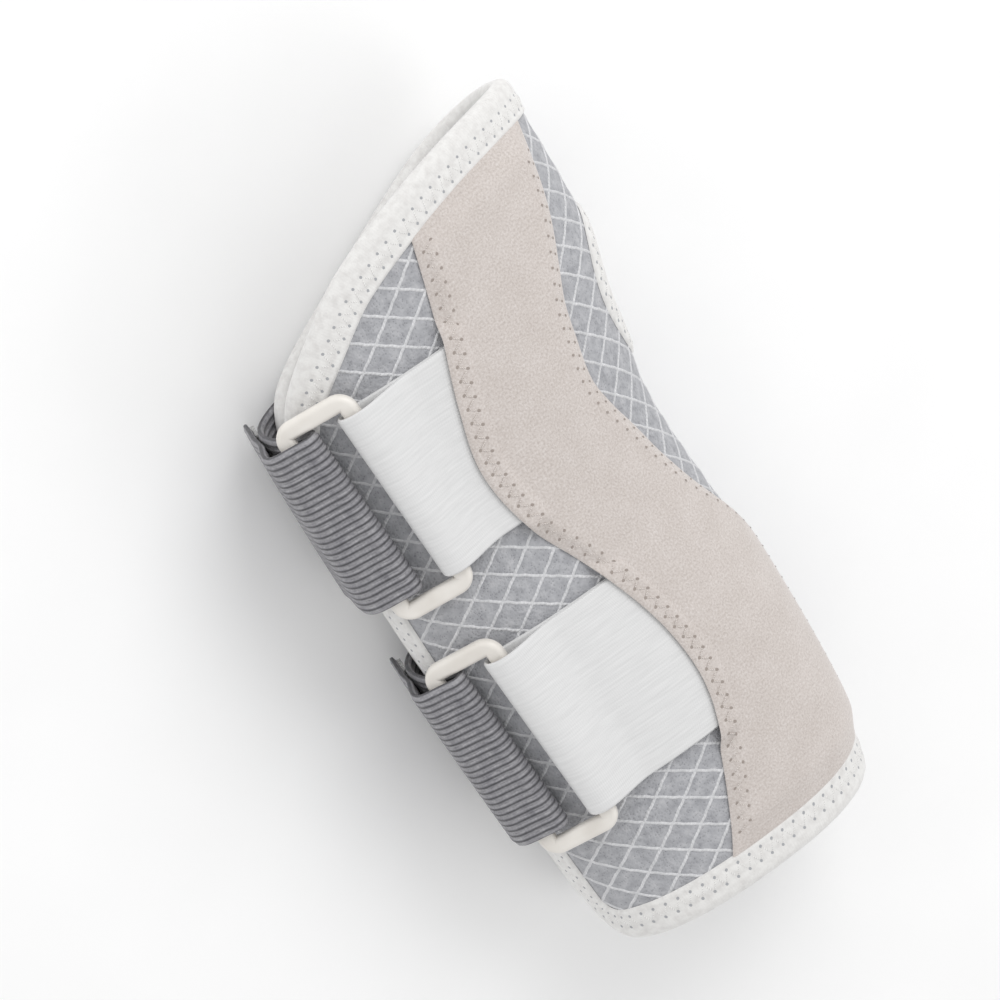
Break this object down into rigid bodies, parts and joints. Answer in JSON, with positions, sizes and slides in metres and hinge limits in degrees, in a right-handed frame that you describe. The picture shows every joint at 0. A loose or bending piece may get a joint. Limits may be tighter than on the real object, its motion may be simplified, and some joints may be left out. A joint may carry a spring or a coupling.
{
  "type": "wrist splint",
  "caption": "Left wrist splint: padded wrap-around sleeve with a thumb hole, palmar metal stay, dorsal cover and two elastic straps through rectangular buckles",
  "frame": {"origin": "on the flat underside of the palmar stay pocket, mid width, level with the wrist", "axes": "+Y towards the fingers, +X towards the thumb side, +Z towards the back of the hand"},
  "size_m": [0.101, 0.2012, 0.0594],
  "materials": {
    "mesh_fabric": "knitted spacer mesh with raised diamond lattice",
    "foam_core": "open-cell foam, satin",
    "lining_fabric": "brushed knit lining",
    "cover_fabric": "beige fine knit",
    "binding_tape": "off-white elastic binding",
    "tab_elastic": "white satin elastic",
    "strap_elastic": "grey ribbed elastic webbing",
    "buckle_plastic": "off-white moulded acetal",
    "hook_tape": "hook tape",
    "dorsal_stay_plastic": "flexible plastic strip",
    "palmar_stay_metal": "bare aluminium bar",
    "stay_tip_vinyl": "dipped vinyl",
    "pocket_fabric": "woven pocket tape"
  },
  "bodies": {
    "palmar_half": {"palmar_binding_forearm": "binding_tape", "palmar_binding_hand": "binding_tape", "palmar_binding_ulnar": "binding_tape", "palmar_foam": "foam_core", "palmar_lining": "lining_fabric", "palmar_mesh": "mesh_fabric", "palmar_stay_pocket": "pocket_fabric", "thumb_binding_palmar": "binding_tape", "strap_anchor_1": "strap_elastic", "strap_anchor_2": "strap_elastic"},
    "dorsal_flap": {"dorsal_binding_forearm": "binding_tape", "dorsal_binding_hand": "binding_tape", "dorsal_binding_ulnar": "binding_tape", "dorsal_cover": "cover_fabric", "dorsal_foam": "foam_core", "dorsal_lining": "lining_fabric", "dorsal_mesh": "mesh_fabric", "dorsal_stay_radial": "dorsal_stay_plastic", "dorsal_stay_ulnar": "dorsal_stay_plastic", "thumb_binding_dorsal": "binding_tape", "tab_1": "tab_elastic", "tab_2": "tab_elastic"},
    "palmar_stay_bar": {"palmar_stay": "palmar_stay_metal", "palmar_stay_tips": "stay_tip_vinyl"},
    "buckle_1_frame": {"buckle_1": "buckle_plastic", "strap_run_1": "strap_elastic"},
    "strap_1_tail": {"strap_tail_1": "strap_elastic", "hook_patch_1": "hook_tape"},
    "buckle_2_frame": {"buckle_2": "buckle_plastic", "strap_run_2": "strap_elastic"},
    "strap_2_tail": {"strap_tail_2": "strap_elastic", "hook_patch_2": "hook_tape"}
  },
  "joints": [
    {"name": "dorsal_flap_open", "type": "hinge", "parent": "palmar_half", "child": "dorsal_flap", "pos_m": [0.0433, 0, 0.028], "axis": [0.045, 0.999, 0], "range_deg": [0, 25]},
    {"name": "palmar_stay_slide", "type": "slide", "parent": "palmar_half", "child": "palmar_stay_bar", "axis": [0, -1, 0], "range_m": [0, 0.16]},
    {"name": "buckle_1_swing", "type": "hinge", "parent": "dorsal_flap", "child": "buckle_1_frame", "pos_m": [-0.03351, 0.0426, 0.05001], "axis": [-0.0455, 0.9988, -0.0179], "range_deg": [0, 40]},
    {"name": "strap_1_peel", "type": "hinge", "parent": "buckle_1_frame", "child": "strap_1_tail", "pos_m": [-0.04508, 0.04196, 0.04368], "axis": [-0.0455, 0.9988, -0.0179], "range_deg": [0, 100]},
    {"name": "buckle_2_swing", "type": "hinge", "parent": "dorsal_flap", "child": "buckle_2_frame", "pos_m": [-0.03471, -0.0286, 0.05148], "axis": [-0.0481, 0.9972, -0.0572], "range_deg": [0, 40]},
    {"name": "strap_2_peel", "type": "hinge", "parent": "buckle_2_frame", "child": "strap_2_tail", "pos_m": [-0.0454, -0.02956, 0.04378], "axis": [-0.0481, 0.9972, -0.0572], "range_deg": [0, 100]}
  ]
}
